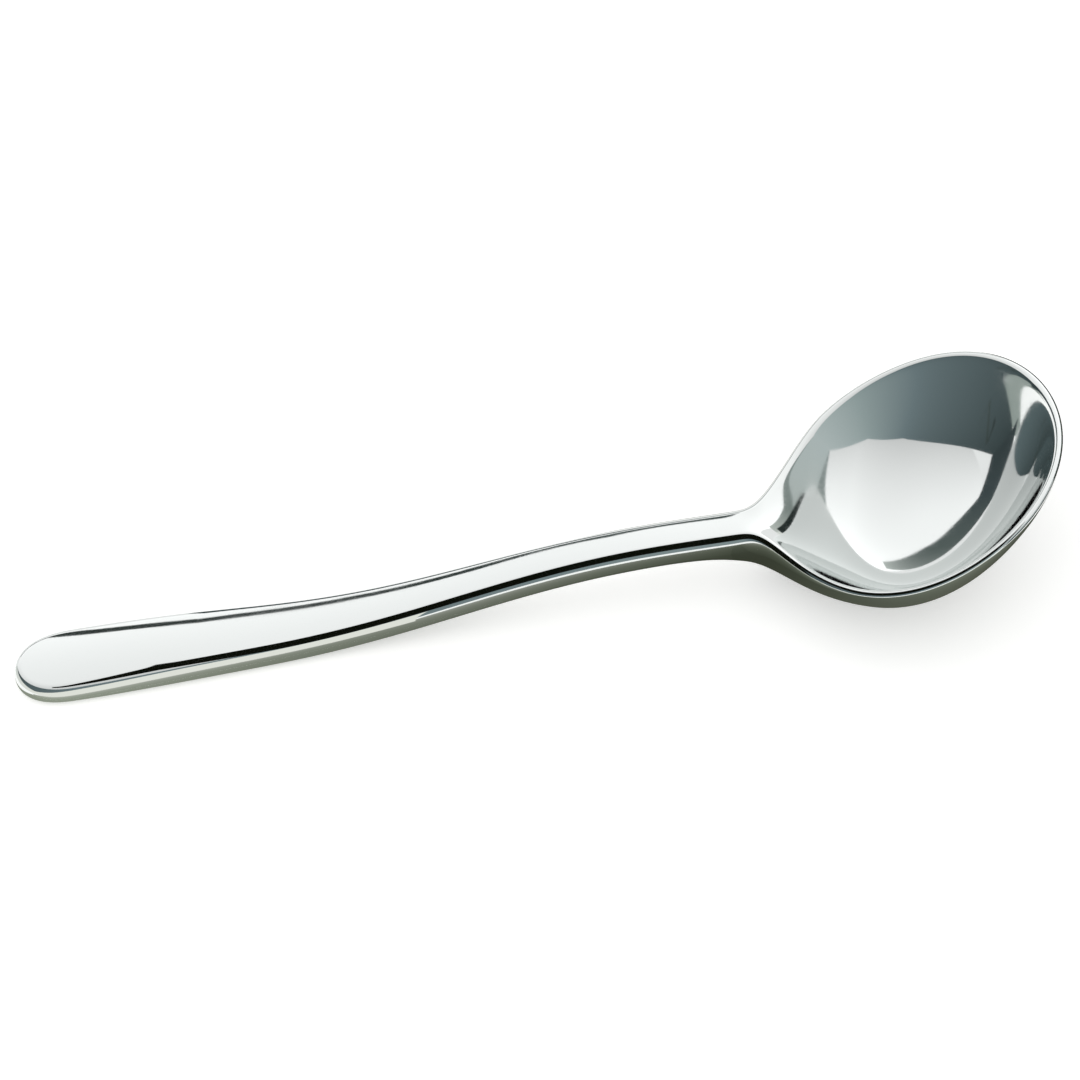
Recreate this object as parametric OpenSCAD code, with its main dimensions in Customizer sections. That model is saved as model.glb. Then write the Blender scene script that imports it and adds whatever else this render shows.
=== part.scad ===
// Soup spoon with a round bowl, pressed in one piece from a thick blank of polished stainless steel.
// X runs from the end of the handle to the tip of the bowl, Y runs across, and Z is up.
// The spoon lies as it does on a table: its belly and the flat underside of its grip both touch Z = 0.
// The origin is on the table, midway along the spoon.

/* [Overall] */
// Length from the end of the handle to the tip of the bowl
overall_length = 170; // [145:1:200]

/* [Bowl] */
// Length of the bowl's oval, from its back to its tip
bowl_length = 45; // [37.5:0.5:53.5]
// Width of the bowl across the outside of its rim
bowl_width = 48.5; // [40.5:0.5:57.5]
// Depth of the hollow below the rim, at the middle of the oval
bowl_depth = 13.4; // [11.2:0.2:16]
// Fullness of the hollow, where 2 is a parabola and more is a flatter floor with steeper sides
bowl_fullness = 3.2; // [2.6:0.1:3.8]
// Thickness of the bowl's floor
floor_thickness = 1.6; // [1.3:0.1:1.9]
// How far behind the oval the hollow starts to sink, in the neck
hollow_lead = 8.4; // [7:0.1:10]
// How far behind the oval the belly starts to swell, under the neck
belly_lead = 22; // [18:0.5:26]

/* [Rim] */
// Width of the flat rim at the back of the bowl
rim_back_width = 1.5; // [1.3:0.1:1.8]
// Width of the flat rim at the sides and the tip
rim_front_width = 1.2; // [1:0.1:1.5]
// How far the rim's rounded edge reaches in from the outline
rim_round = 0.9; // [0.75:0.05:1.05]
// Height of the rim's outer edge, where the belly starts
rim_height = 1.1; // [0.9:0.1:1.3]
// Softness of the lip between the rim and the hollow, as a share of the depth
lip_softness = 0.04; // [0.03:0.005:0.05]

/* [Handle] */
// Width of the handle at its broad end
tail_width = 14.6; // [12.2:0.1:17.4]
// Distance from the end of the handle to its broadest place
tail_nose = 10.5; // [8.7:0.1:12.5]
// Squareness of the handle's end, where 2 is an ellipse
tail_squareness = 2.65; // [2.2:0.05:3.15]
// Width of the handle at its neck
neck_width = 7.5; // [6.3:0.1:8.9]
// How early the handle narrows toward its neck, where less is earlier
taper_bias = 0.65; // [0.54:0.01:0.77]
// Radius of the handle's crowned top
crown_radius = 46; // [38:1:55]

/* [Thickness] */
// Thickness at the end of the handle
tail_thickness = 3.5; // [3:0.1:4.1]
// Thickness along the handle and at its neck
handle_thickness = 4.1; // [3.4:0.1:4.9]
// Distance from the end of the handle to its full thickness
thick_reach = 33; // [28:1:39]
// How far the handle's rounded edge reaches in from the outline
handle_round = 1.7; // [1.4:0.1:2]
// Share of the handle's edge that its upper shoulder takes, the rest being its underside's edge
shoulder_share = 0.66; // [0.55:0.01:0.79]

/* [Side profile] */
// Depth of the flat under the belly, where polishing has levelled the place that the spoon rests on
belly_flat = 0.15; // [0.12:0.01:0.18]
// Length of the flat underside that rests on the table, from the end of the handle
rest_length = 37; // [31:1:44]
// How far behind the oval the handle's climb ends and the rim's climb starts
neck_lead = 10.5; // [8.5:0.5:12.5]
// How far the rim's climb would reach if the tip did not cut it off
rim_climb = 14.6; // [12.2:0.2:17.4]
// How far past the tip that climb is aimed, so that the rim still rises there
climb_overrun = 21; // [17.5:0.5:25]

/* [Blends] */
// Length of the outline's blend from the neck into the oval, behind the oval
neck_blend = 6.2; // [5.2:0.1:7.4]
// Length of that blend inside the oval
shoulder_blend = 10.6; // [8.8:0.1:12.6]
// How far behind the oval the neck's thick edge starts to thin
thinning_lead = 5.5; // [4.5:0.5:6.5]
// Length over which that edge thins into the rim
thinning_length = 18.8; // [15.6:0.2:22.4]

/* [Mesh] */
// Number of steps along the handle
handle_steps = 38; // [30:1:50]
// Number of steps along each half of the bowl
bowl_steps = 18; // [14:1:22]

/* [Hidden] */
steel = [0.78, 0.79, 0.8];

// Places along the spoon
oval_back = overall_length - bowl_length;
oval_middle = overall_length - bowl_length / 2;
oval_reach = bowl_length / 2;
oval_half_width = bowl_width / 2;
tail_half_width = tail_width / 2;
neck_half_width = neck_width / 2;
taper_end = oval_back - neck_blend;
blend_end = oval_back + shoulder_blend;
hollow_start = oval_back - hollow_lead;
belly_start = oval_back - belly_lead;
climb_start = oval_back - neck_lead;
climb_end = overall_length + climb_overrun;
thinning_start = oval_back - thinning_lead;

// Steps of the mesh
tail_steps = 10;
blend_steps = 10;
edge_steps = 3;
rim_steps = 3;
hollow_steps = 6;
belly_steps = 7;
// The belly's steps crowd toward its edge, and one more, at this share, runs inside its flat
belly_shares = concat([1, 0.9], [for (k = [1:belly_steps - 1]) (1 - k / belly_steps) ^ 1.6]);
// On the rim, the mesh lines of the hollow start this far in, in rim widths
lip_reach = 1.25;
// The mesh lines of both ends meet the middle line this far short of them
tail_fan = 0.5;
tip_fan = 0.4;

// Goes from 0 to 1 between two places, level and uncurved at both
function smooth(x, from, to) =
    let (t = min(max((x - from) / (to - from), 0), 1))
    t * t * t * (10 - 15 * t + 6 * t * t);

// Goes from one level value to another that has a slope and a curvature of its own
function blend(x, from, to, value_from, value_to, slope_to, curve_to) =
    let (span = to - from)
    let (t = min(max((x - from) / span, 0), 1))
    let (s = smooth(t, 0, 1))
    value_from * (1 - s) + value_to * s
        + slope_to * span * t ^ 3 * (-4 + 7 * t - 3 * t * t)
        + curve_to * span * span * t ^ 3 * (0.5 - t + 0.5 * t * t);

// Square of the bowl's half width along its oval
function oval_square(x) = oval_half_width ^ 2 * (1 - ((x - oval_middle) / oval_reach) ^ 2);

// Square of the half width anywhere: a squared nose, a taper, a blend and the oval
function outline_square(x) =
    x < tail_nose ? tail_half_width ^ 2 * (1 - (1 - x / tail_nose) ^ tail_squareness)
    : x < taper_end ? (tail_half_width - (tail_half_width - neck_half_width)
        * smooth(((x - tail_nose) / (taper_end - tail_nose)) ^ taper_bias, 0, 1)) ^ 2
    : x < blend_end ? blend(x, taper_end, blend_end, neck_half_width ^ 2, oval_square(blend_end),
        -2 * (blend_end - oval_middle) * (oval_half_width / oval_reach) ^ 2,
        -2 * (oval_half_width / oval_reach) ^ 2)
    : oval_square(x);

function half_width(x) = sqrt(max(outline_square(x), 0));

// Width of the flat rim, broad beside the neck and narrow round the bowl
function rim_width(x) =
    rim_back_width + (rim_front_width - rim_back_width) * smooth(x, oval_back, oval_middle);

// Share of its depth that an oval dish reaches along its middle, from a start in the neck
function dish_share(x, start, reach) =
    x < start ? 0
    : x < oval_middle ? blend(x, start, oval_middle, 0, 1, 0, -2 / reach ^ 2)
    : 1 - ((x - oval_middle) / reach) ^ 2;

// How far inside a dish a point lies: 1 at the deepest place and 0 on the dish's edge
function inside(x, y, start, reach, half, edge) =
    x < start ? 0
    : x < oval_middle ? dish_share(x, start, reach) * (1 - (y / edge) ^ 2)
    : dish_share(x, start, reach) - (y / half) ^ 2;

// Turns that into a share of the depth, with the section's fullness
function fullness(share) = 1 - (1 - share) ^ (bowl_fullness / 2);

// Rounds the lip, where the flat rim turns down into the hollow
function soft_lip(share) = (share + sqrt(share ^ 2 + lip_softness ^ 2) - lip_softness) / 2;

// Thickness of the handle, which stays full as far as the bowl
function handle_height(x) =
    tail_thickness + (handle_thickness - tail_thickness) * smooth(x, 0, thick_reach);

// Goes from 0 on the handle to 1 round the bowl, where the thick edge has become the thin rim
function thinning(x) = smooth(x, thinning_start, thinning_start + thinning_length);

// Height of the outer edge, full on the handle and thin round the bowl
function edge_height(x) = handle_height(x) + (rim_height - handle_height(x)) * thinning(x);

// Share of the edge that lies above its outermost line, half and half round the bowl
function upper_share(x) = shoulder_share + (0.5 - shoulder_share) * thinning(x);

// How far the rounded edge reaches in
function edge_round(x) = handle_round + (rim_round - handle_round) * thinning(x);

// Height of the rim and of the handle's top, but for the handle's climb
function level_profile(x) = handle_height(x) + rim_climb * smooth(x, climb_start, climb_end);

function belly_depth(x, y) =
    (bowl_depth + floor_thickness - rim_height)
        * fullness(inside(x, y, belly_start, oval_reach, oval_half_width, half_width(x)));

// The handle climbs as far as it takes for the belly to touch the table too
climb_steps = 200;
handle_climb = max([for (i = [0:climb_steps])
    let (x = climb_start + i * (overall_length - climb_start) / climb_steps)
    belly_depth(x, 0) + edge_height(x) - level_profile(x)]) - belly_flat;

function top_profile(x) = level_profile(x) + handle_climb * smooth(x, rest_length, climb_start);

// Height of the upper surface
function top_height(x, y) =
    let (crown = (1 - smooth(x, hollow_start, blend_end)) * y * y / (2 * crown_radius))
    let (depth = fullness(soft_lip(inside(x, y, hollow_start, oval_reach - rim_front_width,
        oval_half_width - rim_front_width, half_width(x) - rim_width(x)))))
    top_profile(x) - crown - bowl_depth * depth;

// Height of the underside, level where it meets the table
function under_height(x, y) = max(top_profile(x) - edge_height(x) - belly_depth(x, y), 0);

// Places along one side, close together on the nose, the blend and the tip
shoulder_angle = acos((oval_middle - blend_end) / oval_reach);
side_places = concat(
    [for (i = [0:tail_steps - 1]) tail_nose * (1 - cos(90 * i / tail_steps))],
    [for (i = [0:handle_steps - 1]) tail_nose + (taper_end - tail_nose) * i / handle_steps],
    [for (i = [0:blend_steps - 1]) taper_end + (blend_end - taper_end) * i / blend_steps],
    [for (i = [0:bowl_steps - 1])
        oval_middle - oval_reach * cos(shoulder_angle + (90 - shoulder_angle) * i / bowl_steps)],
    [for (i = [0:bowl_steps]) oval_middle + oval_reach * sin(90 * i / bowl_steps)]
);
side_count = len(side_places);

// The whole outline, from the tail along one side to the tip and back along the other
outline = concat(
    [for (x = side_places) [x, -half_width(x)]],
    [for (i = [side_count - 2:-1:1]) [side_places[i], half_width(side_places[i])]]
);
count = len(outline);

// Direction into the spoon, square to the outline
inward = [for (i = [0:count - 1])
    let (along = outline[(i + 1) % count] - outline[(i + count - 1) % count])
    [-along.y, along.x] / norm(along)];

// Each place on the outline looks to a place on the middle line, drawn in at both ends
function middle_place(x) =
    x < tail_nose ? tail_nose - (tail_nose - x) * (1 - tail_fan)
    : x < oval_middle ? x
    : oval_middle + (x - oval_middle) * (1 - tip_fan);

// How far in the rounded edge and the lip lie at each place on the outline
edge_inset = [for (p = outline) edge_round(p.x)];
lip_inset = [for (p = outline) edge_round(p.x) - rim_round + lip_reach * rim_width(p.x)];

// Heights of the edge above and below its outermost line, at each place on the outline
edge_fall = [for (p = outline) top_height(p.x, p.y) - under_height(p.x, p.y)];
upper_fall = [for (i = [0:count - 1]) edge_fall[i] * upper_share(outline[i].x)];
lower_fall = edge_fall - upper_fall;

// A point on the rounded edge: upper for a positive angle, under for a negative one
function edge_point(i, angle) =
    let (p = outline[i] + inward[i] * edge_inset[i] * (1 - cos(angle)))
    let (cut = (angle < 0 ? lower_fall[i] : upper_fall[i]) * (1 - sin(abs(angle))))
    [p.x, p.y, angle < 0 ? under_height(p.x, p.y) + cut : top_height(p.x, p.y) - cut];

// A place at the given share of the way from an inset of the outline to the middle line
function inner_place(i, inset, share) =
    let (start = outline[i] + inward[i] * inset)
    start + ([middle_place(outline[i].x), 0] - start) * share;

function on_top(p) = [p.x, p.y, top_height(p.x, p.y)];
function on_underside(p) = [p.x, p.y, under_height(p.x, p.y)];

// Rings of points, from the middle of the underside out round the edge and in to the hollow
rings = concat(
    [for (share = belly_shares)
        [for (i = [0:count - 1]) on_underside(inner_place(i, edge_inset[i], share))]],
    [for (k = [-edge_steps:edge_steps])
        [for (i = [0:count - 1]) edge_point(i, 90 * k / edge_steps)]],
    [for (k = [1:rim_steps])
        [for (i = [0:count - 1])
            let (reach = lip_inset[i] - edge_inset[i])
            on_top(inner_place(i, edge_inset[i] + reach * k / rim_steps, 0))]],
    [for (k = [1:hollow_steps])
        let (share = (k / hollow_steps) ^ 1.4)
        [for (i = [0:count - 1]) on_top(inner_place(i, lip_inset[i], share))]]
);
last_ring = len(rings) - 1;

// The first and last rings lie on the middle line, where the two sides share their points
function side_of(i) = i < side_count ? i : count - i;
function point_index(ring, i) =
    ring == 0 ? side_of(i)
    : ring == last_ring ? side_count + (last_ring - 1) * count + side_of(i)
    : side_count + (ring - 1) * count + i;

module spoon() {
    points = concat(
        [for (i = [0:side_count - 1]) rings[0][i]],
        [for (ring = [1:last_ring - 1]) each rings[ring]],
        [for (i = [0:side_count - 1]) rings[last_ring][i]]
    );
    faces = [for (ring = [0:last_ring - 1], i = [0:count - 1])
        let (next = (i + 1) % count)
        let (a = point_index(ring, i))
        let (b = point_index(ring, next))
        let (c = point_index(ring + 1, next))
        let (d = point_index(ring + 1, i))
        // The cut across each patch is mirrored from side to side, from end to end and top to bottom
        let (tail_end = outline[i].x < oval_back)
        let (one_side = i < side_count - 1)
        let (below = ring < last_ring / 2)
        let (forward = (tail_end == one_side) == below)
        each forward ? [[a, c, b], [a, d, c]] : [[a, d, b], [b, d, c]]];
    color(steel) translate([-overall_length / 2, 0, 0]) polyhedron(points, faces);
}

spoon();
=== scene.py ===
"""Looks of a round-bowled soup spoon of mirror-polished stainless steel, dressed around its CAD frame."""
import logging
import math
from dataclasses import dataclass, field
from enum import Enum
from functools import cached_property

import bpy
import numpy as np
from mathutils import Matrix, Vector


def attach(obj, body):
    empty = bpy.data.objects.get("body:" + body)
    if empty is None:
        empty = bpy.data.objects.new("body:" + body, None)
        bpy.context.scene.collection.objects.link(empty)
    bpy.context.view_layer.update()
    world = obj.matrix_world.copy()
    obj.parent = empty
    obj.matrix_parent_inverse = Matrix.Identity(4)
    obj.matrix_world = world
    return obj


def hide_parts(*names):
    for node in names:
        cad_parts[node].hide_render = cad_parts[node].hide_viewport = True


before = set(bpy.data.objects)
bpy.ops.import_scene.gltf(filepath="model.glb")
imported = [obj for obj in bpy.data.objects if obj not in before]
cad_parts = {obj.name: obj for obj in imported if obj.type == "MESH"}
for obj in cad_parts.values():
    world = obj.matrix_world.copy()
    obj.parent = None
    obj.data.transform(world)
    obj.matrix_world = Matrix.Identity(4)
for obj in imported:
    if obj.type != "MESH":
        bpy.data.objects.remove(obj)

log = logging.getLogger("soup_spoon")
MM = 0.001
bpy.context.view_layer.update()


# ---------------------------------------------------------------- small helpers

def linear(hex_colour: str) -> tuple[float, float, float, float]:
    """Turns an sRGB hex colour into the linear colour that a shader socket takes.

    Args:
        hex_colour: a colour such as "#d8d6d2".

    Returns:
        Red, green, blue and alpha, where each channel is c / 12.92 in the darks and
        ((c + 0.055) / 1.055) to the power 2.4 above them.
    """
    channels = [int(hex_colour[i:i + 2], 16) / 255 for i in (1, 3, 5)]
    red, green, blue = (c / 12.92 if c <= 0.04045 else ((c + 0.055) / 1.055) ** 2.4 for c in channels)
    return red, green, blue, 1.0


def add_node(tree: bpy.types.NodeTree, kind: str, inputs: dict | None = None,
             **settings: object) -> bpy.types.Node:
    """Adds a node with its settings, its values and its links.

    Args:
        tree: the node tree that gets it.
        kind: the node's type name in Blender.
        inputs: for each input, by name or index, a value or the output socket that feeds it.
        **settings: the node's own properties.

    Returns:
        The new node.
    """
    node = tree.nodes.new(kind)
    for name, value in settings.items():
        setattr(node, name, value)
    for name, value in (inputs or {}).items():
        if isinstance(value, bpy.types.NodeSocket):
            tree.links.new(value, node.inputs[name])
        else:
            node.inputs[name].default_value = value
    return node


def bare_material(name: str) -> bpy.types.Material:
    """Makes a material whose node tree is empty.

    Args:
        name: the finish's common name.

    Returns:
        The new material.
    """
    material = bpy.data.materials.new(name)
    material.use_nodes = True
    material.node_tree.nodes.clear()
    return material


def mesh_object(name: str, points: np.ndarray, faces: np.ndarray, smooth: bool) -> bpy.types.Object:
    """Puts whole arrays of points and faces into a new mesh object at the origin.

    Args:
        name: the object's name.
        points: N x 3 points in millimetres.
        faces: M x 4 corner numbers, counter-clockwise seen from outside.
        smooth: whether its faces are shaded as one smooth skin.

    Returns:
        The linked object.
    """
    mesh = bpy.data.meshes.new(name)
    mesh.from_pydata((points * MM).tolist(), [], faces.tolist())
    mesh.update()
    mesh.polygons.foreach_set("use_smooth", np.full(len(mesh.polygons), smooth))
    placed = bpy.data.objects.new(name, mesh)
    bpy.context.scene.collection.objects.link(placed)
    return placed


def ease(x: np.ndarray, start: float, end: float) -> np.ndarray:
    """Goes from 0 to 1 between two places, level and uncurved at both.

    Args:
        x: places.
        start: where it is still 0.
        end: where it has reached 1.

    Returns:
        10 t^3 - 15 t^4 + 6 t^5 of the share t of the way.
    """
    t = np.clip((x - start) / (end - start), 0, 1)
    return t * t * t * (10 - 15 * t + 6 * t * t)


# ---------------------------------------------------------------- the spoon's shape

class Skin(Enum):
    """The bands of rings that the skin is made of, from under the spoon round its edge to the hollow."""

    BELLY = 44
    EDGE = 30
    RIM = 10
    HOLLOW = 50


@dataclass
class SpoonShape:
    """Sizes of the spoon in millimetres, the same as its CAD part's, and the surfaces they give."""

    overall_length: float = 170
    bowl_length: float = 45
    bowl_width: float = 48.5
    bowl_depth: float = 13.4
    bowl_fullness: float = 3.2
    floor_thickness: float = 1.6
    hollow_lead: float = 8.4
    belly_lead: float = 22
    rim_back_width: float = 1.5
    rim_front_width: float = 1.2
    rim_height: float = 1.1
    lip_softness: float = 0.04
    tail_width: float = 14.6
    tail_nose: float = 10.5
    tail_squareness: float = 2.65
    neck_width: float = 7.5
    taper_bias: float = 0.65
    crown_radius: float = 46
    tail_thickness: float = 3.5
    handle_thickness: float = 4.1
    thick_reach: float = 33
    handle_round: float = 1.7
    shoulder_share: float = 0.66
    rim_round: float = 0.9
    belly_flat: float = 0.15
    rest_length: float = 37
    neck_lead: float = 10.5
    rim_climb: float = 14.6
    climb_overrun: float = 21
    neck_blend: float = 6.2
    shoulder_blend: float = 10.6
    thinning_lead: float = 5.5
    thinning_length: float = 18.8

    def __post_init__(self) -> None:
        """Works out the places along the spoon that several surfaces share."""
        self.oval_back = self.overall_length - self.bowl_length
        self.oval_middle = self.overall_length - self.bowl_length / 2
        self.oval_reach = self.bowl_length / 2
        self.oval_half_width = self.bowl_width / 2
        self.taper_end = self.oval_back - self.neck_blend
        self.blend_end = self.oval_back + self.shoulder_blend
        self.hollow_start = self.oval_back - self.hollow_lead
        self.belly_start = self.oval_back - self.belly_lead
        self.climb_start = self.oval_back - self.neck_lead
        self.climb_end = self.overall_length + self.climb_overrun

    @staticmethod
    def blend(x: np.ndarray, ends: tuple[float, float], values: tuple[float, float],
              slope: float, curve: float) -> np.ndarray:
        """Goes from one level value to another that has a slope and a curvature of its own.

        Args:
            x: places.
            ends: where the blend starts and ends.
            values: the values there.
            slope: the slope at the end.
            curve: the curvature at the end.

        Returns:
            The quintic through both ends with those slopes and curvatures.
        """
        span = ends[1] - ends[0]
        t = np.clip((x - ends[0]) / span, 0, 1)
        share = ease(t, 0, 1)
        return (values[0] * (1 - share) + values[1] * share
                + slope * span * t ** 3 * (-4 + 7 * t - 3 * t * t)
                + curve * span * span * t ** 3 * (0.5 - t + 0.5 * t * t))

    def near_edge(self, steps: int, short: float = 0.01) -> tuple[np.ndarray, np.ndarray]:
        """Walks along the near side of the outline, in steps that close up toward both ends.

        Args:
            steps: how many.
            short: how far the half turn of the cosine that spaces them stays short of each end.

        Returns:
            Places from the end of the handle, and the outline's X and Y there.
        """
        x = self.overall_length * (1 - np.cos(np.linspace(short, math.pi - short, steps))) / 2
        return x, np.stack([x, -self.half_width(x)], -1)

    def oval_square(self, x: np.ndarray | float) -> np.ndarray | float:
        """Square of the bowl's half width: that of an ellipse about the bowl's middle."""
        return self.oval_half_width ** 2 * (1 - ((x - self.oval_middle) / self.oval_reach) ** 2)

    def half_width(self, x: np.ndarray) -> np.ndarray:
        """Half the spoon's width along its length.

        Args:
            x: places from the end of the handle.

        Returns:
            The root of a superellipse for the nose, of the square of an eased taper for the
            handle, of a quintic blend for the neck, and of the ellipse for the bowl.
        """
        nose = (self.tail_width / 2) ** 2 * (
            1 - np.clip(1 - x / self.tail_nose, 0, 1) ** self.tail_squareness)
        share = np.clip((x - self.tail_nose) / (self.taper_end - self.tail_nose), 0, 1) ** self.taper_bias
        taper = (self.tail_width / 2 - (self.tail_width - self.neck_width) / 2 * ease(share, 0, 1)) ** 2
        ratio = (self.oval_half_width / self.oval_reach) ** 2
        neck = self.blend(x, (self.taper_end, self.blend_end),
                          ((self.neck_width / 2) ** 2, self.oval_square(self.blend_end)),
                          -2 * (self.blend_end - self.oval_middle) * ratio, -2 * ratio)
        square = np.select([x < self.tail_nose, x < self.taper_end, x < self.blend_end],
                           [nose, taper, neck], self.oval_square(x))
        return np.sqrt(np.maximum(square, 0))

    def rim_width(self, x: np.ndarray) -> np.ndarray:
        """Width of the flat rim, eased from broad beside the neck to narrow round the bowl."""
        return self.rim_back_width + (self.rim_front_width - self.rim_back_width) * ease(
            x, self.oval_back, self.oval_middle)

    def inside(self, x: np.ndarray, y: np.ndarray, start: float, inset: float,
               edge: np.ndarray) -> np.ndarray:
        """How far inside an oval dish a point lies, 1 at the deepest place and 0 on its edge.

        Args:
            x: places along the spoon.
            y: places across it.
            start: where the dish starts in the neck.
            inset: how far the dish's oval lies inside the bowl's.
            edge: the dish's half width at x.

        Returns:
            Along the middle, an eased rise and then a parabola to the tip. Across it, that share
            falls with the square of y over the edge behind the middle, and over the oval past it.
        """
        reach = self.oval_reach - inset
        half = self.oval_half_width - inset
        rise = self.blend(x, (start, self.oval_middle), (0, 1), 0, -2 / reach ** 2)
        behind = rise * (1 - (y / np.maximum(edge, 1e-6)) ** 2)
        ahead = 1 - ((x - self.oval_middle) / reach) ** 2 - (y / half) ** 2
        return np.select([x < start, x < self.oval_middle], [0, behind], ahead)

    def fullness(self, share: np.ndarray) -> np.ndarray:
        """Turns a share inside a dish into a share of its depth: 1 - (1 - share) ^ (fullness / 2)."""
        return 1 - np.maximum(1 - share, 0) ** (self.bowl_fullness / 2)

    def soft_lip(self, share: np.ndarray) -> np.ndarray:
        """Rounds the lip: half of share plus the root of share squared plus softness squared."""
        soft = self.lip_softness
        return (share + np.sqrt(share ** 2 + soft ** 2) - soft) / 2

    def handle_height(self, x: np.ndarray) -> np.ndarray:
        """Thickness of the handle, eased up from its end."""
        return self.tail_thickness + (self.handle_thickness - self.tail_thickness) * ease(
            x, 0, self.thick_reach)

    def thinning(self, x: np.ndarray) -> np.ndarray:
        """Goes from 0 on the handle to 1 round the bowl, where the thick edge is the thin rim."""
        start = self.oval_back - self.thinning_lead
        return ease(x, start, start + self.thinning_length)

    def edge_height(self, x: np.ndarray) -> np.ndarray:
        """Height of the outer edge, eased from the handle's thickness to the thin rim."""
        full = self.handle_height(x)
        return full + (self.rim_height - full) * self.thinning(x)

    def edge_round(self, x: np.ndarray) -> np.ndarray:
        """How far the rounded edge reaches in, eased from the handle's to the rim's."""
        return self.handle_round + (self.rim_round - self.handle_round) * self.thinning(x)

    def upper_share(self, x: np.ndarray) -> np.ndarray:
        """Share of the edge above its outermost line, eased from the handle's to half."""
        return self.shoulder_share + (0.5 - self.shoulder_share) * self.thinning(x)

    def level_profile(self, x: np.ndarray) -> np.ndarray:
        """Height of the rim and the handle's top before the handle's climb is added."""
        return self.handle_height(x) + self.rim_climb * ease(x, self.climb_start, self.climb_end)

    def belly_depth(self, x: np.ndarray, y: np.ndarray) -> np.ndarray:
        """How far the belly hangs below the outer edge: the full depth times the dish's fullness."""
        share = self.inside(x, y, self.belly_start, 0, self.half_width(x))
        return (self.bowl_depth + self.floor_thickness - self.rim_height) * self.fullness(share)

    @cached_property
    def handle_climb(self) -> float:
        """How far the handle climbs for the belly to touch the table too: the most that it lacks."""
        x = np.linspace(self.climb_start, self.overall_length, 201)
        lack = self.belly_depth(x, 0 * x) + self.edge_height(x) - self.level_profile(x)
        return float(np.max(lack)) - self.belly_flat

    def top_profile(self, x: np.ndarray) -> np.ndarray:
        """Height of the handle's top and the rim along the spoon, with the handle's eased climb."""
        return self.level_profile(x) + self.handle_climb * ease(x, self.rest_length, self.climb_start)

    def top_height(self, x: np.ndarray, y: np.ndarray) -> np.ndarray:
        """Height of the upper surface.

        Args:
            x: places along the spoon.
            y: places across it.

        Returns:
            The top's profile, less a crown that falls with y squared on the handle, less the
            hollow, whose depth follows its fullness inside the soft lip.
        """
        crown = (1 - ease(x, self.hollow_start, self.blend_end)) * y * y / (2 * self.crown_radius)
        share = self.inside(x, y, self.hollow_start, self.rim_front_width,
                            self.half_width(x) - self.rim_width(x))
        return self.top_profile(x) - crown - self.bowl_depth * self.fullness(self.soft_lip(share))

    def under_height(self, x: np.ndarray, y: np.ndarray) -> np.ndarray:
        """Height of the underside: the top's profile less the edge and the belly, level on the table."""
        return np.maximum(self.top_profile(x) - self.edge_height(x) - self.belly_depth(x, y), 0)


# ---------------------------------------------------------------- finishes

@dataclass(frozen=True)
class PolishedStainlessSteel:
    """Stainless steel, 18/10 or 18/0, drop-pressed, belt-ground and buffed on soft wheels to a mirror.

    To the eye it is a bright mirror, nearly neutral with a breath of green. Buffing leaves faint
    lines along the spoon and a slow waviness, and use dulls it in soft patches.
    """

    name: str = "mirror_polished_stainless_steel"
    colour: str = "#e1e4e3"
    base_roughness: float = 0.035
    worn_roughness: float = 0.085
    buffing_line: float = 0.5       # mm; real lines are 0.05 mm apart and would not show
    buffing_run: float = 22         # mm along the spoon
    waviness: float = 11            # mm between the slow waves that soft wheels leave
    patch: float = 16               # mm between places that hands and cloths have dulled
    line_height: float = 0.002      # mm
    wave_height: float = 0.02       # mm

    def build(self) -> bpy.types.Material:
        """Makes the material.

        Returns:
            A metal whose roughness varies with rubbed patches and stretched buffing lines, and
            whose normal carries those lines and the slow waves.
        """
        material = bare_material(self.name)
        tree = material.node_tree
        place = add_node(tree, "ShaderNodeTexCoord").outputs["Object"]
        across = 1 / (self.buffing_line * MM)
        along = add_node(tree, "ShaderNodeMapping", {
            "Vector": place, "Scale": (1 / (self.buffing_run * MM), across, across)})
        lines = add_node(tree, "ShaderNodeTexNoise", {
            "Vector": along.outputs["Vector"], "Scale": 1.0, "Detail": 3.0, "Roughness": 0.6})
        rubbed = add_node(tree, "ShaderNodeTexNoise", {
            "Vector": place, "Scale": 1 / (self.patch * MM), "Detail": 4.0, "Roughness": 0.55})
        waves = add_node(tree, "ShaderNodeTexNoise", {
            "Vector": place, "Scale": 1 / (self.waviness * MM), "Detail": 0.0, "Roughness": 0.5})
        mixed = add_node(tree, "ShaderNodeMath", {
            0: lines.outputs["Fac"], 1: rubbed.outputs["Fac"]}, operation="MULTIPLY")
        rough = add_node(tree, "ShaderNodeMapRange", {
            "Value": mixed.outputs["Value"], "From Min": 0.12, "From Max": 0.42,
            "To Min": self.base_roughness, "To Max": self.worn_roughness})
        slow = add_node(tree, "ShaderNodeBump", {
            "Height": waves.outputs["Fac"], "Strength": 0.5, "Distance": self.wave_height * MM})
        fine = add_node(tree, "ShaderNodeBump", {
            "Height": lines.outputs["Fac"], "Normal": slow.outputs["Normal"],
            "Strength": 0.3, "Distance": self.line_height * MM})
        steel = add_node(tree, "ShaderNodeBsdfPrincipled", {
            "Base Color": linear(self.colour), "Metallic": 1.0,
            "Roughness": rough.outputs["Result"], "Normal": fine.outputs["Normal"]})
        add_node(tree, "ShaderNodeOutputMaterial", {"Surface": steel.outputs["BSDF"]})
        return material


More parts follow.
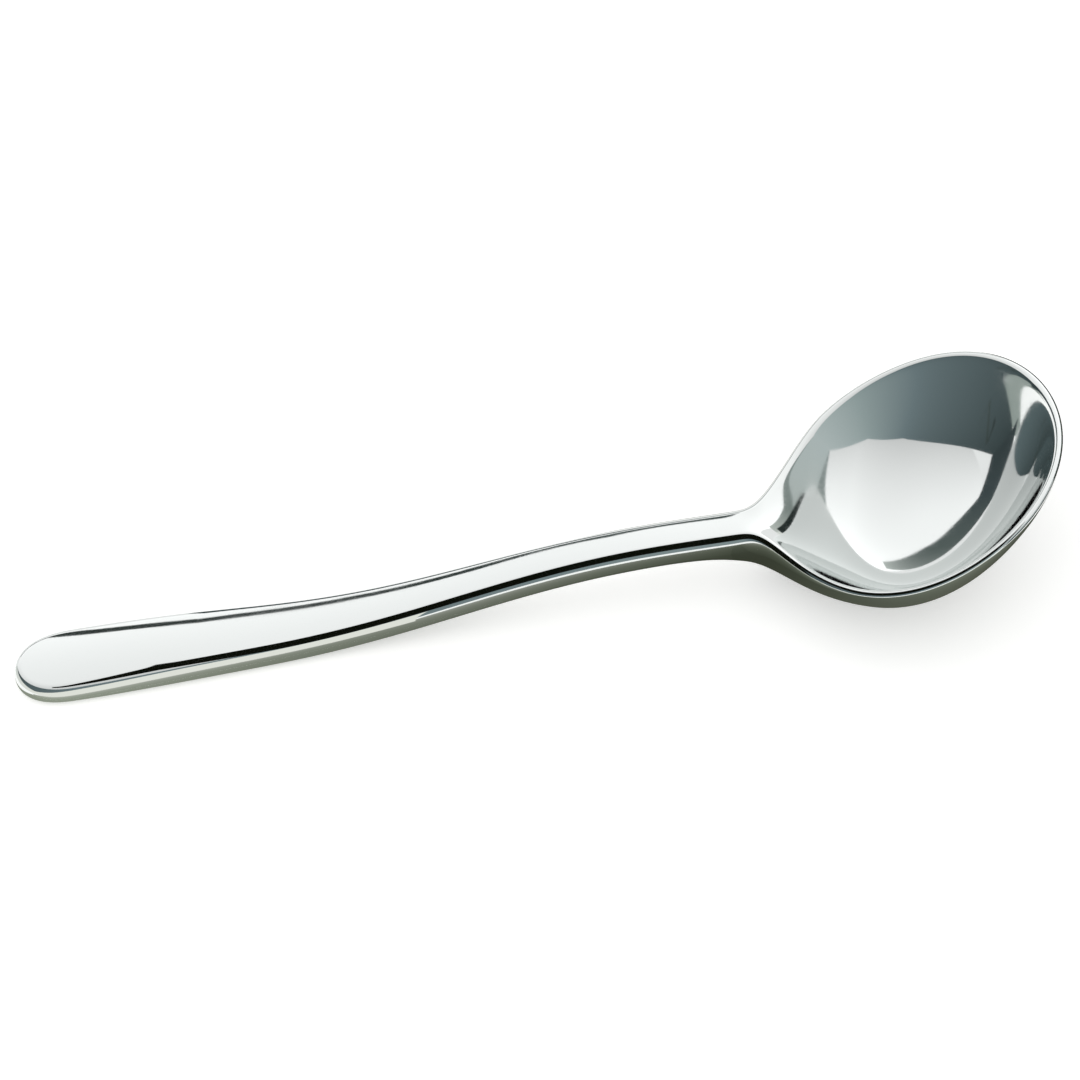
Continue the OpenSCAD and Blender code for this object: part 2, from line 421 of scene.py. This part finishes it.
@dataclass(frozen=True)
class MattFloorLaminate:
    """White matt laminate, as on a photographer's table: a plain surface with a soft fine grain."""

    name: str = "matt_white_laminate"
    colour: str = "#ededeb"
    lift: float = 0.44              # how much of the white background shows as well as the lit colour
    grain: float = 3                # mm
    grain_height: float = 0.02      # mm
    roughness: float = 0.7

    def build(self) -> bpy.types.Material:
        """Makes the material.

        Returns:
            A matt surface that keeps the object's shadow, to which camera, glossy and
            transmission rays add a share of plain white, so that it is seen as white.
        """
        material = bare_material(self.name)
        tree = material.node_tree
        place = add_node(tree, "ShaderNodeTexCoord").outputs["Object"]
        grain = add_node(tree, "ShaderNodeTexNoise", {
            "Vector": place, "Scale": 1 / (self.grain * MM), "Detail": 2.0})
        bump = add_node(tree, "ShaderNodeBump", {
            "Height": grain.outputs["Fac"], "Strength": 0.15, "Distance": self.grain_height * MM})
        lift = add_node(tree, "ShaderNodeMath", {
            0: seen_directly(tree), 1: self.lift}, operation="MULTIPLY")
        floor = add_node(tree, "ShaderNodeBsdfPrincipled", {
            "Base Color": linear(self.colour), "Roughness": self.roughness,
            "Normal": bump.outputs["Normal"], "Emission Color": linear("#ffffff"),
            "Emission Strength": lift.outputs["Value"]})
        add_node(tree, "ShaderNodeOutputMaterial", {"Surface": floor.outputs["BSDF"]})
        return material


@dataclass(frozen=True)
class GlowingReflectionCard:
    """Glowing card that stands round the table, out of the picture, for the steel to mirror: a painted
    reflection.

    Its tone runs from corner to corner, a painted gradient that stands in for light reaching it from one
    side.
    """

    name: str
    tone_layer: str = "tone"

    def build(self) -> bpy.types.Material:
        """Makes the material.

        Returns:
            A plain glowing tone that shows as it is written, read from the card's own points: painted
            reflection, not lit colour.
        """
        material = bare_material(self.name)
        tree = material.node_tree
        tone = add_node(tree, "ShaderNodeAttribute", attribute_name=self.tone_layer)
        # the card glows with its written tone instead of being lit: painted reflection
        glow = add_node(tree, "ShaderNodeEmission", {"Color": tone.outputs["Color"], "Strength": 1.0})
        add_node(tree, "ShaderNodeOutputMaterial", {"Surface": glow.outputs["Emission"]})
        return material


def seen_directly(tree: bpy.types.NodeTree) -> bpy.types.NodeSocket:
    """Gives 1 for camera, glossy and transmission rays and 0 for others.

    Args:
        tree: the node tree that uses it.

    Returns:
        The larger of the three ray flags.
    """
    rays = add_node(tree, "ShaderNodeLightPath").outputs
    mirrored = add_node(tree, "ShaderNodeMath", {
        0: rays["Is Glossy Ray"], 1: rays["Is Transmission Ray"]}, operation="MAXIMUM")
    return add_node(tree, "ShaderNodeMath", {
        0: rays["Is Camera Ray"], 1: mirrored.outputs["Value"]}, operation="MAXIMUM").outputs["Value"]


# ---------------------------------------------------------------- the spoon

@dataclass
class SoupSpoon:
    """The spoon itself: one closed skin over handle, neck, rim and bowl."""

    shape: SpoonShape = field(default_factory=SpoonShape)
    finish: PolishedStainlessSteel = field(default_factory=PolishedStainlessSteel)
    tail_steps: int = 44
    handle_steps: int = 120
    blend_steps: int = 64
    bowl_steps: int = 64
    lip_reach: float = 1.25
    tail_fan: float = 0.5
    tip_fan: float = 0.4
    flank_turn: float = 22          # degrees that the handle's flank turns below its tight shoulder
    belly_gather: float = 1.6       # above 1, rings lie closer toward the middle line
    hollow_gather: float = 1.4      # above 1, rings lie closer toward the lip

    def side_places(self) -> np.ndarray:
        """Places along one side, from the handle's end to the tip.

        Returns:
            A quarter cosine over the nose, even steps over the taper and the neck, and the
            ellipse's own angle in even steps round the bowl.
        """
        s = self.shape
        shoulder = math.acos((s.oval_middle - s.blend_end) / s.oval_reach)
        nose = s.tail_nose * (1 - np.cos(np.linspace(0, math.pi / 2, self.tail_steps, endpoint=False)))
        taper = np.linspace(s.tail_nose, s.taper_end, self.handle_steps, endpoint=False)
        neck = np.linspace(s.taper_end, s.blend_end, self.blend_steps, endpoint=False)
        back = s.oval_middle - s.oval_reach * np.cos(
            np.linspace(shoulder, math.pi / 2, self.bowl_steps, endpoint=False))
        front = s.oval_middle + s.oval_reach * np.sin(np.linspace(0, math.pi / 2, self.bowl_steps + 1))
        return np.concatenate([nose, taper, neck, back, front])

    def outline(self) -> tuple[np.ndarray, np.ndarray]:
        """Walks round the outline once.

        Returns:
            The points, and the unit direction into the spoon at each: the turned tangent
            between its two neighbours.
        """
        x = self.side_places()
        y = self.shape.half_width(x)
        points = np.concatenate([np.stack([x, -y], -1), np.stack([x, y], -1)[-2:0:-1]])
        tangent = np.roll(points, -1, 0) - np.roll(points, 1, 0)
        inward = np.stack([-tangent[:, 1], tangent[:, 0]], -1)
        return points, inward / np.linalg.norm(inward, axis=-1, keepdims=True)

    def shoulder(self, angle: np.ndarray, inset: np.ndarray,
                 height: np.ndarray) -> tuple[np.ndarray, np.ndarray]:
        """Works out the handle's upper edge as a slow arc up its flank and a tight arc onto its top.

        Args:
            angle: turns of the surface from its outermost line, 0 to a quarter turn.
            inset: how far in the edge reaches.
            height: how far up it reaches.

        Returns:
            How far in and how far up from the outermost line each turn lies. The two radii follow
            from both reaches.
        """
        turn = math.radians(self.flank_turn)
        across, up = math.cos(turn), math.sin(turn)
        share = across * up - (1 - across) * (1 - up)
        tight = (inset * up - (1 - across) * height) / share
        slow = (across * height - (1 - up) * inset) / share
        low, high = np.minimum(angle, turn), np.maximum(angle, turn)
        return (slow * (1 - np.cos(low)) + tight * (across - np.cos(high)),
                slow * np.sin(low) + tight * (np.sin(high) - up))

    def edge_rings(self, outline: np.ndarray, inward: np.ndarray) -> np.ndarray:
        """Works out the rings round the edge, from its underside to its top.

        Args:
            outline: X and Y of the outline's points.
            inward: the unit direction into the spoon at each.

        Returns:
            Rings x outline x 3 points. They go round half an ellipse, as wide as the edge's round
            and as high as the edge, but for the handle's upper half, which is its shoulder.
        """
        s = self.shape
        x, y = outline.T
        round_in = s.edge_round(x)[None]
        angle = np.linspace(-math.pi / 2, math.pi / 2, Skin.EDGE.value + 1)[:, None]
        fall = (s.top_height(x, y) - s.under_height(x, y))[None]
        share = np.where(angle < 0, 1 - s.upper_share(x)[None], s.upper_share(x)[None])
        reach, rise = self.shoulder(np.maximum(angle, 0), round_in, fall * share)
        oval = np.where(angle < 0, 1, s.thinning(x)[None])
        reach = reach + (round_in * (1 - np.cos(angle)) - reach) * oval
        rise = rise + (fall * share * np.sin(np.abs(angle)) - rise) * oval
        edge = outline[None] + inward[None] * reach[..., None]
        cut = fall * share - rise
        height = np.where(angle < 0, s.under_height(edge[..., 0], edge[..., 1]) + cut,
                          s.top_height(edge[..., 0], edge[..., 1]) - cut)
        return np.concatenate([edge, height[..., None]], -1)

    def rings(self) -> np.ndarray:
        """Works out the skin as rings, from the underside's middle line round the edge to the hollow's.

        Returns:
            Rings x outline x 3 points, about the spoon's middle. The rings under and above the
            edge slide from an inset of the outline to a place on the middle line.
        """
        s = self.shape
        outline, inward = self.outline()
        x = outline[:, 0]
        middle = np.select([x < s.tail_nose, x < s.oval_middle],
                           [s.tail_nose - (s.tail_nose - x) * (1 - self.tail_fan), x],
                           s.oval_middle + (x - s.oval_middle) * (1 - self.tip_fan))
        centre = np.stack([middle, 0 * middle], -1)

        def slide(inset: np.ndarray, share: np.ndarray) -> np.ndarray:
            """Places a share of the way from an inset of the outline to the middle line."""
            start = outline[None] + inward[None] * inset[..., None]
            return start + (centre[None] - start) * share[..., None]

        one = np.ones_like(x)[None]
        round_in = s.edge_round(x)[None]
        lip = self.lip_reach * s.rim_width(x)[None] + round_in - s.rim_round
        belly_share = (1 - np.arange(Skin.BELLY.value) / Skin.BELLY.value) ** self.belly_gather
        belly = slide(round_in * one, belly_share[:, None] * one)
        rim_share = np.arange(1, Skin.RIM.value + 1)[:, None] / Skin.RIM.value
        rim = slide(round_in + (lip - round_in) * rim_share, 0 * rim_share * one)
        hollow_share = (np.arange(1, Skin.HOLLOW.value + 1) / Skin.HOLLOW.value) ** self.hollow_gather
        hollow = slide(lip, hollow_share[:, None] * one)

        under = np.concatenate([belly, s.under_height(belly[..., 0], belly[..., 1])[..., None]], -1)
        above = np.concatenate([rim, hollow])
        above = np.concatenate([above, s.top_height(above[..., 0], above[..., 1])[..., None]], -1)
        skin = np.concatenate([under, self.edge_rings(outline, inward), above])
        return skin - np.array([s.overall_length / 2, 0, 0])

    def build(self) -> bpy.types.Object:
        """Makes the skin's mesh, dresses it and hands it to the frame.

        Returns:
            The closed skin. Its first and last rings lie on the middle line, where both sides
            share their points.
        """
        rings = self.rings()
        ring_count, count = rings.shape[:2]
        side = count // 2 + 1
        index = np.empty((ring_count, count), int)
        fold = np.minimum(np.arange(count), count - np.arange(count))
        index[0] = fold
        index[1:-1] = side + np.arange((ring_count - 2) * count).reshape(ring_count - 2, count)
        index[-1] = side + (ring_count - 2) * count + fold
        points = np.concatenate([rings[0, :side], rings[1:-1].reshape(-1, 3), rings[-1, :side]])
        onward = np.roll(index, -1, 1)
        faces = np.stack([index[:-1], onward[:-1], onward[1:], index[1:]], -1).reshape(-1, 4)
        skin = mesh_object("spoon_skin", points, faces[:, ::-1], smooth=True)
        skin.data.materials.append(self.finish.build())
        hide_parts("spoon")
        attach(skin, "root")
        log.info("spoon_skin: %d faces, %.1f mm long", len(faces), np.ptp(points[:, 0]))
        return skin


# ---------------------------------------------------------------- the studio

class Place(Enum):
    """Where the cards stand round the table, named for what mirrors them."""

    BOWL_DARK = "bowl_dark"
    BOWL_GREY = "bowl_grey"
    BOWL_PALE = "bowl_pale"
    BOWL_SIDE = "bowl_side"
    BOWL_END = "bowl_end"
    FAR_DARK = "far_dark"
    FAR_MIDDLE = "far_middle"
    FAR_PALE = "far_pale"
    BOWL_LINE = "bowl_line"
    NOTCH = "notch"
    CEILING = "ceiling"
    EDGE_FLAG = "edge_flag"
    ROD_TAIL = "rod_tail"
    ROD_GRIP = "rod_grip"
    ROD_RISE = "rod_rise"
    ROD_BEND = "rod_bend"
    ROD_NECK = "rod_neck"
    GRIP_FILL = "grip_fill"
    NOSE_FILL = "nose_fill"
    TIP_LOW = "tip_low"
    TIP_FAR = "tip_far"
    SHADE_LEFT = "shade_left"
    SHADE_HANDLE = "shade_handle"
    SHADE_UNDER = "shade_under"
    SHADE_BOWL = "shade_bowl"
    SHADE_BACK = "shade_back"


class Paint(str, Enum):
    """Tones that several cards share, as sRGB colours: painted reflections, and painted shadow for the
    floor shades.
    """

    STONE = "#bfc6c3"
    PEWTER = "#848e8a"
    COAL = "#343b39"
    IRON = "#4a5452"
    MILK = "#fafaf2"
    PITCH = "#2c3432"
    FOG = "#a0aaa5"
    # painted shadow tones of the floor shades beside the spoon
    SHADOW_LIGHT = "#a5ab9c"
    SHADOW_MID = "#4c5144"
    SHADOW_DEEP = "#3c4034"


@dataclass(frozen=True)
class Corner:
    """One corner of a card: its place in millimetres and its tone."""

    x: float
    y: float
    z: float
    tone: str


@dataclass(frozen=True)
class Side:
    """One upright side of a card: its place and its two ends' heights in millimetres, and its tone."""

    x: float
    y: float
    low: float
    high: float
    tone: str


@dataclass(frozen=True)
class Ceiling:
    """Glowing white ceiling that only the steel sees, a painted highlight: sizes in millimetres, and its
    brightness at some places along and across it.
    """

    half_size: float = 1300
    height: float = 600
    steps: int = 66
    along: tuple[float, ...] = (-1300, -200, 500, 1300)
    strengths: tuple[float, ...] = (0.68, 0.94, 1.13, 1.1)
    across: tuple[float, ...] = (-1300, 0, 1300)
    gains: tuple[float, ...] = (-0.6, 0, 0.5)
    tone: str = "#ffffff"


@dataclass(frozen=True)
class EdgeFlag:
    """Narrow dark strip held above the near edge, seen by the steel only: a painted dark reflection.
    Sizes in millimetres at places along the spoon.
    """

    stations: tuple[float, ...] = (-80, -62, -40, -20, 5, 33, 46, 60, 71, 77)
    inner: tuple[float, ...] = (0.8, 4.7, 3.2, 2.6, 2.2, 2.1, 0.5, 0.9, 0.9, 0)
    outer: tuple[float, ...] = (0.2, 0.6, 4.4, 4.6, 6.5, 6.5, 1.3, 2.0, 2.0, 0.3)
    height: tuple[float, ...] = (4.1, 4.0, 4.0, 4.0, 4.0, 3.8, 1.2, 1.8, 1.8, 1.8)
    tone: str = "#0c0f08"


@dataclass
class Studio:
    """Floor, world, and the cards, rods, ceiling and floor shades that only the steel sees: glowing
    painted reflections and painted shadow.
    """

    shape: SpoonShape = field(default_factory=SpoonShape)
    floor_size: float = 6000
    floor_finish: MattFloorLaminate = field(default_factory=MattFloorLaminate)
    ambient: float = 0.9
    card_steps: int = 24
    flag_steps: int = 240
    shade_height: float = 0.1       # mm above the floor

    def floor(self) -> None:
        """Lays the floor at the spoon's resting height: a square about the origin."""
        half = self.floor_size / 2
        corners = np.array([[-half, -half, 0], [half, -half, 0], [half, half, 0], [-half, half, 0]])
        plane = mesh_object("floor", corners, np.array([[0, 1, 2, 3]]), smooth=False)
        plane.data.materials.append(self.floor_finish.build())
        log.info("floor: %.1f m square", self.floor_size * MM)

    def panel(self, place: Place, points: np.ndarray, tones: np.ndarray) -> None:
        """Puts up a glowing panel that only the steel sees, a painted reflection that lights nothing and
        casts no shadow.

        Args:
            place: where it stands.
            points: rows x columns x 3 places in millimetres.
            tones: rows x columns x 4 linear colours.
        """
        rows, columns = points.shape[:2]
        index = np.arange(rows * columns).reshape(rows, columns)
        faces = np.stack([index[:-1, :-1], index[:-1, 1:], index[1:, 1:], index[1:, :-1]], -1)
        faces = faces.reshape(-1, 4)
        finish = GlowingReflectionCard(f"glowing_reflection_card_{place.value}")
        panel = mesh_object(f"card_{place.value}", points.reshape(-1, 3), faces, smooth=False)
        layer = panel.data.color_attributes.new(finish.tone_layer, "FLOAT_COLOR", "POINT")
        layer.data.foreach_set("color", tones.ravel())
        panel.data.materials.append(finish.build())
        # unseen by camera, diffuse and shadow rays: only the steel mirrors this painted reflection
        panel.visible_camera = False
        panel.visible_diffuse = False
        panel.visible_shadow = False
        log.info("card_%s: %d faces", place.value, len(faces))

    def card(self, place: Place, *corners: Corner) -> None:
        """Puts up a card with four corners.

        Args:
            place: where it stands.
            *corners: its corners, going round; places and tones run evenly between them.
        """
        share = np.linspace(0, 1, self.card_steps + 1)
        u, v = np.meshgrid(share, share)
        weights = np.stack([(1 - u) * (1 - v), u * (1 - v), u * v, (1 - u) * v], -1)
        places = np.array([(corner.x, corner.y, corner.z) for corner in corners])
        tones = np.array([linear(corner.tone) for corner in corners])
        self.panel(place, weights @ places, weights @ tones)

    def screen(self, places: tuple[Place, ...], *sides: Side) -> None:
        """Stands cards on edge in a row, each between one side and the next.

        Args:
            places: the cards' names.
            *sides: the sides along the row, one more than there are cards.
        """
        for place, start, end in zip(places, sides, sides[1:]):
            self.card(place, Corner(start.x, start.y, start.low, start.tone),
                      Corner(end.x, end.y, end.low, end.tone),
                      Corner(end.x, end.y, end.high, end.tone),
                      Corner(start.x, start.y, start.high, start.tone))

    def shade(self, place: Place, *corners: tuple[float, float, str]) -> None:
        """Lays a painted patch just above the floor, seen by the steel only.

        Args:
            place: what it is for.
            *corners: X, Y and tone of its four corners, going round.
        """
        self.card(place, *(Corner(x, y, self.shade_height, tone) for x, y, tone in corners))

    def edge_flag(self, flag: EdgeFlag) -> None:
        """Holds a narrow dark strip just above the spoon's near edge, from the grip round to the tip: a
        painted dark reflection line.

        Args:
            flag: its reach inside and outside the edge, its height and its tone.
        """
        x, near = self.shape.near_edge(self.flag_steps)
        inward = np.gradient(near, axis=0)[:, ::-1] * np.array([-1, 1])
        inward /= np.linalg.norm(inward, axis=-1, keepdims=True)
        place = x - self.shape.overall_length / 2
        kept = (place >= flag.stations[0]) & (place <= flag.stations[-1])
        reach = np.stack([np.interp(place, flag.stations, values) for values in (flag.inner, flag.outer)])
        across = near[None] + inward[None] * (reach * np.array([[1], [-1]]))[..., None]
        above = self.shape.top_profile(x) + np.interp(place, flag.stations, flag.height)
        points = np.concatenate([across, np.stack([above, above])[..., None]], -1)[:, kept]
        points[..., 0] -= self.shape.overall_length / 2
        self.panel(Place.EDGE_FLAG, points, np.broadcast_to(linear(flag.tone), (*points.shape[:2], 4)))

    def ceiling(self, ceiling: Ceiling) -> None:
        """Hangs a glowing white ceiling that is brighter toward the bowl's end and away from the camera:
        a painted highlight.

        Args:
            ceiling: its size and how bright it is.
        """
        places = np.linspace(-ceiling.half_size, ceiling.half_size, ceiling.steps)
        x, y = np.meshgrid(places, places)
        # painted highlight: the glow is made stronger in places, not lit by a lamp
        strength = (np.interp(x, ceiling.along, ceiling.strengths)
                    + np.interp(y, ceiling.across, ceiling.gains))
        tones = np.array(linear(ceiling.tone)) * strength[..., None]
        self.panel(Place.CEILING, np.stack([x, y, np.full_like(x, ceiling.height)], -1), tones)

    def world(self) -> None:
        """Surrounds it all with plain light, seen as white by camera, glossy and transmission rays."""
        world = bpy.data.worlds.new("plain_studio")
        world.use_nodes = True
        tree = world.node_tree
        tree.nodes.clear()
        strength = add_node(tree, "ShaderNodeMapRange", {
            "Value": seen_directly(tree), "To Min": self.ambient, "To Max": 1.0})
        sky = add_node(tree, "ShaderNodeBackground", {
            "Color": linear("#ffffff"), "Strength": strength.outputs["Result"]})
        add_node(tree, "ShaderNodeOutputWorld", {"Surface": sky.outputs["Background"]})
        bpy.context.scene.world = world

    def room(self) -> None:
        """Stands glowing cards round the camera's side as the room's walls: a painted reflection for the
        bowl to mirror.
        """
        self.screen((Place.BOWL_DARK, Place.BOWL_GREY, Place.BOWL_PALE, Place.BOWL_SIDE),
                    Side(-335, 211, 0, 91, "#3c4748"), Side(-190, -373, 0, 486, "#738286"),
                    Side(231, -417, 0, 396, "#9eacac"), Side(479, -169, 0, 222, "#bec8c8"),
                    Side(452, 225, 0, 200, Paint.STONE))
        self.screen((Place.BOWL_LINE,),
                    Side(479, -169, 222, 226, "#98a2a1"), Side(452, 225, 200, 246, Paint.PEWTER))
        self.screen((Place.NOTCH,),
                    Side(452, 225, 150, 246, Paint.PEWTER), Side(300, 430, 130, 236, "#c9cec9"))

    def far_wall(self) -> None:
        """Stands glowing cards behind the spoon: a painted reflection for the far side of the handle and
        the end of the bowl.
        """
        self.screen((Place.FAR_DARK, Place.FAR_MIDDLE, Place.FAR_PALE),
                    Side(-68, 72, 2, 46, "#3a4446"), Side(-36, 104, 28, 63, "#444e50"),
                    Side(-9, 131, 58, 103, "#5c6664"), Side(60, 150, 84, 108, "#c4cac6"))
        self.screen((Place.BOWL_END,),
                    Side(452, 225, 0, 150, Paint.STONE), Side(300, 430, 0, 130, "#e8ebe6"))

    def rods(self) -> None:
        """Holds thin dark glowing rods behind the handle, which mirrors them as the dark line on its far
        side: a painted reflection.
        """
        self.screen((Place.ROD_TAIL,),
                    Side(-96, 19, 8.4, 10.2, Paint.COAL), Side(-58, 19, 15.6, 17.6, Paint.COAL))
        self.screen((Place.ROD_GRIP, Place.ROD_RISE, Place.ROD_BEND, Place.ROD_NECK),
                    Side(-62, 34, 27.1, 30.0, Paint.COAL), Side(-40, 34, 28.3, 31.1, Paint.COAL),
                    Side(-13, 34, 33.7, 35.8, "#404947"), Side(10.5, 14, 21.1, 22.2, Paint.IRON),
                    Side(34, 14, 21.9, 23.1, Paint.IRON))

    def ends(self) -> None:
        """Stands low glowing cards round the grip and the tip, pale before the grip and dark beyond the
        tip: painted reflections.
        """
        self.screen((Place.GRIP_FILL,),
                    Side(-95, -15, 0, 7, Paint.MILK), Side(-20, -14, 2, 13, Paint.MILK))
        self.screen((Place.NOSE_FILL,),
                    Side(-101, 14, 0, 10, "#dfe3e0"), Side(-95, -15, 0, 7, Paint.MILK))
        self.screen((Place.TIP_LOW,),
                    Side(98, -46, 0, 20, "#1c2322"), Side(100, 20, 0, 20, Paint.PITCH))
        self.screen((Place.TIP_FAR,),
                    Side(119, -8, 0, 33, "#161b1a"), Side(80, 56, 0, 33, Paint.PITCH))

    def floor_shades(self) -> None:
        """Lays dark patches of painted shadow that flanks and belly mirror, where the spoon keeps light
        off the table, and a grey painted patch far to the left.
        """
        fog, shadow_light, shadow_mid, shadow_deep = Paint.FOG, Paint.SHADOW_LIGHT, Paint.SHADOW_MID, Paint.SHADOW_DEEP
        self.shade(Place.SHADE_LEFT, (-60, 48, fog), (-900, 8, fog), (-900, 320, fog), (-60, 112, fog))
        # painted shadow: dark patches beside and under the spoon, seen by the steel only
        self.shade(Place.SHADE_UNDER,
                   (-86, 3, "#7b8274"), (32, 3, shadow_deep), (32, -10, shadow_mid), (-86, -8.5, shadow_light))
        self.shade(Place.SHADE_HANDLE,
                   (-88, -8.5, shadow_light), (32, -10, shadow_mid), (32, -62, "#74796c"), (-88, -22, "#f0f0ea"))
        self.shade(Place.SHADE_BOWL,
                   (32, 0, shadow_deep), (88, 0, shadow_deep), (92, -60, "#a9ae9f"), (32, -62, "#6b7264"))
        self.shade(Place.SHADE_BACK,
                   (20, 0, "#5c6154"), (88, 0, shadow_mid), (112, 62, "#8d928a"), (0, 50, "#e2e5de"))

    def build(self) -> None:
        """Sets up floor, world and all that the steel mirrors."""
        self.floor()
        self.world()
        self.room()
        self.far_wall()
        self.ceiling(Ceiling())
        self.edge_flag(EdgeFlag())
        self.rods()
        self.ends()
        self.floor_shades()
        bpy.context.scene.view_settings.view_transform = "Standard"


@dataclass
class Viewpoint:
    """The camera, at the photograph's angle: where it looks, from where, and how it is turned."""

    azimuth: float = 6.25          # degrees from -Y towards +X
    elevation: float = 45.53
    roll: float = -12.81
    distance: float = 521.8        # mm
    focal: float = 3204.9          # in pixels of the 1080 pixel frame
    target: tuple[float, float, float] = (1.47, 13.89, 0.0)
    frame_pixels: int = 1080
    sensor: float = 36             # mm
    nearest: float = 10            # mm
    farthest: float = 20000        # mm

    def build(self) -> bpy.types.Object:
        """Places the camera.

        Returns:
            The camera: it looks at the target from the given angles and distance, rolled about
            its own axis.
        """
        az, el, roll = (math.radians(a) for a in (self.azimuth, self.elevation, self.roll))
        back = Vector((math.sin(az) * math.cos(el), -math.cos(az) * math.cos(el), math.sin(el)))
        right = Vector((math.cos(az), math.sin(az), 0))
        up = back.cross(right)
        across = right * math.cos(roll) + up * math.sin(roll)
        above = up * math.cos(roll) - right * math.sin(roll)
        data = bpy.data.cameras.new("camera")
        data.sensor_width = self.sensor
        data.lens = self.focal * self.sensor / self.frame_pixels
        data.clip_start, data.clip_end = self.nearest * MM, self.farthest * MM
        camera = bpy.data.objects.new("camera", data)
        turn = Matrix((across, above, back)).transposed().to_4x4()
        camera.matrix_world = Matrix.Translation((Vector(self.target) + back * self.distance) * MM) @ turn
        bpy.context.scene.collection.objects.link(camera)
        bpy.context.scene.camera = camera
        log.info("camera: %.1f mm lens", data.lens)
        return camera


def main() -> None:
    """Builds the spoon, the studio and the camera."""
    logging.basicConfig(level=logging.INFO, format="%(name)s %(message)s")
    Viewpoint().build()
    SoupSpoon().build()
    Studio().build()


if __name__ == "__main__":
    main()
